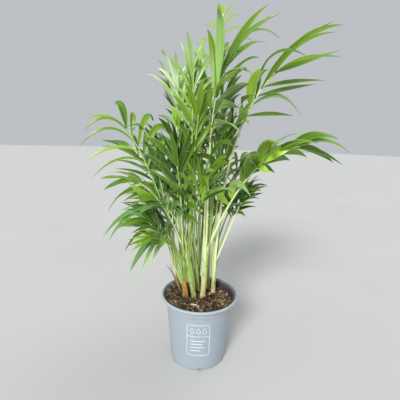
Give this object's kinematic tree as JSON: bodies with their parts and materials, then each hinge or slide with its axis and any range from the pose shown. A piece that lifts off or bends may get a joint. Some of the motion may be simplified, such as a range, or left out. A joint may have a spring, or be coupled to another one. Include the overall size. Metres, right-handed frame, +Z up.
{
  "type": "potted parlour palm",
  "caption": "Small parlour palm with arching feathered fronds on slender green stems, growing in peat in a round tapered plastic nursery pot.",
  "frame": {"origin": "centre of the pot's flat underside", "axes": "+Z up along the pot's axis, +X towards the long fronds on the right, -Y towards the side with the print"},
  "size_m": [0.204, 0.1781, 0.2923],
  "materials": {
    "pot": "smooth satin",
    "soil": "crumbly peat",
    "shoot": "waxy green",
    "dry": "dry papery",
    "leaf": "soft satin",
    "young_leaf": "soft satin"
  },
  "bodies": {
    "root": {"pot": "pot", "soil": "soil", "shoot_far_left": "shoot", "shoot_left": "shoot", "shoot_middle_left": "shoot", "shoot_middle": "shoot", "shoot_main": "shoot", "shoot_right": "shoot", "shoot_right_back": "shoot", "shoot_back": "shoot", "shoot_left_back": "shoot", "sheath_dry": "dry", "twig_dry": "dry", "sheath_olive": "dry", "frond_left_fan": "leaf", "frond_right_high": "leaf", "frond_right_broad": "leaf", "frond_centre_tall": "young_leaf", "frond_centre_front": "young_leaf", "frond_top_new": "young_leaf", "frond_left_upright": "leaf", "frond_left_low": "leaf", "frond_left_droop": "leaf", "frond_left_lowest": "leaf", "frond_right_low": "leaf", "frond_centre_upright": "leaf", "frond_centre_left": "leaf", "frond_front_right": "leaf", "frond_front_left": "leaf", "frond_back_high_1": "leaf", "frond_back_high_2": "leaf", "frond_back_high_3": "leaf", "frond_back_high_4": "leaf", "frond_back_mid_1": "leaf", "frond_back_mid_2": "leaf", "frond_back_mid_3": "leaf", "frond_back_mid_4": "leaf", "frond_back_mid_5": "leaf", "frond_back_low_1": "leaf", "frond_back_low_2": "leaf", "frond_back_low_3": "leaf", "frond_back_low_4": "leaf", "frond_front_mid_1": "leaf", "frond_front_mid_2": "leaf", "frond_front_mid_3": "leaf", "frond_front_mid_4": "leaf", "frond_small_left_1": "leaf", "frond_small_left_2": "leaf", "frond_small_left_3": "leaf", "frond_small_left_4": "leaf", "frond_small_middle_1": "leaf", "frond_small_middle_2": "leaf", "frond_small_middle_3": "leaf"}
  },
  "joints": []
}
